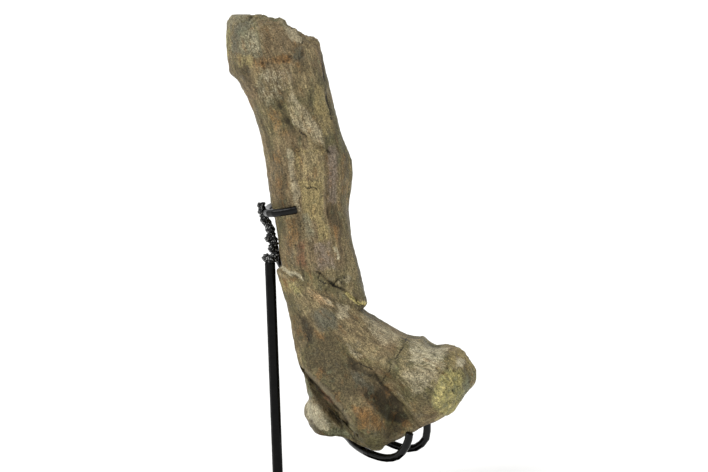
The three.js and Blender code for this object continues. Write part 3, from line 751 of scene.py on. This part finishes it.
def bone_material():
    m = Nodes("fossil_bone")
    place = m.node("ShaderNodeTexCoord").outputs["Object"]
    grain = m.attribute("grain", "Vector")
    colour = {name: linear(value) for name, value in BONE_COLOURS.items()}

    # The noises: stains and patches, streaks along the fibres, and grains.
    broad = m.noise(place, 15, detail=3)
    patchy = m.noise(place, 70, detail=6, roughness=0.72, offset=(3, 1, 7))
    bands = m.noise(grain, 0.13, (1, 0.7, 0.16), detail=5, roughness=0.65, offset=(5, 0, 2))
    stains = m.noise(grain, 0.1, (1, 0.8, 0.35), detail=7, roughness=0.75, offset=(1, 8, 4))
    fibres = m.noise(grain, 0.4, (1, 0.8, 0.2), detail=4, roughness=0.7, offset=(9, 0, 0))
    speckle = m.noise(place, 520, detail=4, roughness=0.8)
    grit = m.noise(place, 760, detail=3, roughness=0.7, offset=(2, 5, 1))
    veins = m.noise(grain, 0.16, (1, 1, 0.4), detail=5, roughness=0.6)
    veins = m.math("ABSOLUTE", m.math("SUBTRACT", veins, 0.5))

    # The ground colour in bands, then the patches with ragged edges, then stains.
    shade = m.mix(m.ramp(broad, 0.38, 0.62), colour["olive"], colour["brown"])
    shade = m.mix(m.ramp(bands, 0.5, 0.64, 0, 0.8), shade, colour["tan"])
    shade = m.mix(m.ramp(bands, 0.47, 0.34, 0, 0.75), shade, colour["umber"])
    ragged = m.math("ADD", m.math("MULTIPLY", patchy, 1.3), m.math("MULTIPLY", fibres, 0.8))
    ragged = m.math("SUBTRACT", m.math("ADD", ragged, m.math("MULTIPLY", grit, 0.5)), 1.3)
    for paint, most in PATCH_SHARES.items():
        share = m.attribute(paint)
        share = m.math("ADD", share, m.math("MULTIPLY", ragged, m.ramp(share, 0, 0.45)))
        shade = m.mix(m.ramp(share, 0.2, 0.75, 0, most), shade, colour[paint])
    shade = m.mix(m.ramp(stains, 0.54, 0.66, 0, 0.45), shade, colour["rust"])
    shade = m.mix(m.ramp(stains, 0.45, 0.34, 0, 0.45), shade, colour["slate"])
    shade = m.mix(m.ramp(patchy, 0.57, 0.68, 0, 0.4), shade, colour["moss"])

    # The crust is moss green and yellow in patches, with dark specks.
    crust = m.attribute("crust")
    shade = m.mix(m.math("MULTIPLY", crust, m.ramp(patchy, 0.5, 0.62, 0, 0.7)), shade, colour["moss"])
    shade = m.mix(m.math("MULTIPLY", crust, m.ramp(patchy, 0.48, 0.4, 0, 0.85)), shade, colour["mineral"])
    shade = m.mix(m.math("MULTIPLY", crust, m.ramp(speckle, 0.52, 0.62, 0, 0.8)), shade, colour["umber"])

    # Light and dark grains, calmer where the bone is pale, then veins, a painted highlight on crests,
    # painted shade in hollows, pits and cracks.
    value = m.ramp(fibres, 0.3, 0.7, 0.66, 1.3)
    value = m.math("MULTIPLY", value, m.ramp(speckle, 0.36, 0.64, 0.58, 1.46))
    value = m.math("MULTIPLY", value, m.ramp(grit, 0.53, 0.63, 1, 1.5))
    calm = m.ramp(m.attribute("light"), 0.2, 0.8, 0, 0.4)
    value = m.math("ADD", m.math("MULTIPLY", value, m.math("SUBTRACT", 1.0, calm)), calm)
    value = m.node("ShaderNodeCombineColor", {0: value, 1: value, 2: value}).outputs[0]
    shade = m.mix(1.0, shade, value, "MULTIPLY")
    shade = m.mix(m.ramp(grit, 0.43, 0.35, 0, 0.8), shade, colour["dark"])
    shade = m.mix(m.ramp(veins, 0.02, 0.004, 0, 0.35), shade, colour["dark"])
    # A painted highlight on crests, then painted shade in hollows.
    shade = m.mix(m.ramp(m.attribute("crest"), 0.1, 1, 0, 0.22), shade, colour["pale"])
    shade = m.mix(m.ramp(m.attribute("hollow"), 0.1, 1, 0, 0.75), shade, colour["dark"])
    shade = m.mix(m.ramp(m.attribute("pits"), 0.3, 1, 0, 0.5), shade, colour["crack"])
    crack = m.math("MULTIPLY", m.math("SUBTRACT", grit, 0.5), 2.4)
    crack = m.math("ADD", m.attribute("crack_gap"), crack)
    shade = m.mix(m.ramp(crack, 0.95, 0.35, 0, 0.85), shade, colour["crack"])
    m.put(m.shader.inputs["Base Color"], shade)

    gloss = m.math("ADD", patchy, m.math("MULTIPLY", broad, 0.4))
    m.put(m.shader.inputs["Roughness"], m.ramp(gloss, 0.5, 0.9, 0.42, 0.7))
    m.shader.inputs["Specular IOR Level"].default_value = 0.22
    height = m.math("ADD", m.math("MULTIPLY", fibres, 0.8), speckle)
    m.bump(height, BONE_GRAIN_DEPTH * MM, 0.9)
    return m.material


def paint_material(name, low_roughness, high_roughness, reflection, ripple, beads, glints=0.0):
    """Black paint on steel, with dust. Ripple is the height of its bumps in millimetres, beads the share
    of the small ones. Glints are painted highlights, bright metal flecks on the weld, 1 at their brightest.
    """
    m = Nodes(name)
    place = m.node("ShaderNodeTexCoord").outputs["Object"]
    broad = m.noise(place, 60, detail=3)
    fine = m.noise(place, 500, detail=2)
    dust = m.ramp(m.noise(place, 240, detail=5, roughness=0.7), 0.6, 0.78)
    shade = m.mix(m.ramp(broad, 0.35, 0.65), linear("030303"), linear("0a0a09"))
    shade = m.mix(m.math("MULTIPLY", dust, 0.08), shade, linear("4a4741"))
    # Painted glints: bright metal flecks on the weld.
    if glints:
        glint = m.noise(place, 480, detail=3, roughness=0.7, offset=(4, 2, 0))
        glint = m.ramp(glint, 0.585, 0.625, 0, glints)
        shade = m.mix(glint, shade, linear("c4c4c0"))
        m.put(m.shader.inputs["Metallic"], glint)
    m.put(m.shader.inputs["Base Color"], shade)
    m.put(m.shader.inputs["Roughness"], m.ramp(broad, 0.3, 0.7, low_roughness, high_roughness))
    m.shader.inputs["Specular IOR Level"].default_value = reflection
    height = m.math("ADD", m.math("MULTIPLY", broad, 2.0), m.math("MULTIPLY", fine, beads))
    m.bump(height, ripple * MM, 0.6)
    return m.material


def make_bone(material):
    bone = Surface(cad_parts["femur"], BONE_VOXEL, "bone")
    paint_bone(bone, *sculpt_bone(bone))
    bone.finish("bone", "femur", material)


def make_bar(node, material, lumpiness=0.05, twist=0.0):
    """A painted bar. A twist gives it slanting ridges of weld metal."""
    bar = Surface(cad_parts[node], BAR_VOXEL, node + "_painted")
    bar.smooth(14)
    along = bar.points @ np.array(WELD_SLANT) + 1.6 * noise(bar.points / 6, 75)
    ridges = np.sin(along * math.tau / WELD_PITCH)
    bar.push(lumpiness * fractal(bar.points, 4.5, 71, 2) + twist * ridges, bar.normals())
    bar.keep_inside()
    bar.finish(node + "_painted", node, material)


def make_floor():
    material = Nodes("floor_white")
    place = material.node("ShaderNodeTexCoord").outputs["Object"]
    soft = material.noise(place, 3, detail=2)
    shade = material.mix(soft, linear("f6f6f5"), linear("fbfbfa"))
    material.put(material.shader.inputs["Base Color"], shade)
    material.shader.inputs["Roughness"].default_value = 0.9
    material.shader.inputs["Specular IOR Level"].default_value = 0.0
    mesh = bpy.data.meshes.new("floor")
    signs = ((-1, -1), (1, -1), (1, 1), (-1, 1))
    corners = [(x * FLOOR_REACH, y * FLOOR_REACH, 0.0) for x, y in signs]
    mesh.from_pydata(corners, [], [(0, 1, 2, 3)])
    mesh.materials.append(material.material)
    floor = bpy.data.objects.new("floor", mesh)
    bpy.context.scene.collection.objects.link(floor)
    floor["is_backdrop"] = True


def make_studio():
    """A white room, and a large soft lamp at the upper left."""
    world = bpy.data.worlds.new("studio")
    world.use_nodes = True
    world.node_tree.nodes["Background"].inputs["Color"].default_value = (1, 1, 1, 1)
    world.node_tree.nodes["Background"].inputs["Strength"].default_value = ROOM_LIGHT
    bpy.context.scene.world = world
    for name, energy, width in (("key", KEY_LIGHT, KEY_WIDTH), ("glint", GLINT_LIGHT, GLINT_WIDTH)):
        data = bpy.data.lights.new(name, "SUN")
        data.energy = energy
        data.angle = width
        lamp = bpy.data.objects.new(name, data)
        lamp.rotation_euler = Vector([-part for part in KEY_FROM]).to_track_quat("-Z", "Y").to_euler()
        bpy.context.scene.collection.objects.link(lamp)
    bpy.context.scene.view_settings.view_transform = "Standard"


def make_camera():
    data = bpy.data.cameras.new("camera")
    data.sensor_width = SENSOR_WIDTH
    data.lens = FOCAL_PIXELS * SENSOR_WIDTH / IMAGE_WIDTH
    data.clip_end = VIEW_REACH
    camera = bpy.data.objects.new("camera", data)
    camera.location = CAMERA_PLACE * MM
    camera.rotation_euler = Vector(-TO_CAMERA).to_track_quat("-Z", "Y").to_euler()
    bpy.context.scene.collection.objects.link(camera)
    bpy.context.scene.camera = camera


make_camera()
make_studio()
make_floor()
make_bone(bone_material())
satin_black = paint_material("satin_black", 0.14, 0.26, 0.09, 0.25, 0.5)
weld_black = paint_material("weld_black", 0.04, 0.12, 0.2, 2.2, 1.4, 0.8)
bent_black = paint_material("bent_black", 0.05, 0.12, 0.2, 0.3, 0.5)
make_bar("upright_rod", satin_black)
for bar_node in ("upper_hook", "cradle_bar", "front_prong", "rear_prong"):
    make_bar(bar_node, bent_black)
make_bar("hook_bar", weld_black, 0.8, 0.6)
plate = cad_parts["base_plate"]
plate.data.materials.clear()
plate.data.materials.append(satin_black)

boxes = {"cad": cad_box, "visual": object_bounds()}
boxes = {key: [[float(v) for v in corner] for corner in box] for key, box in boxes.items()}
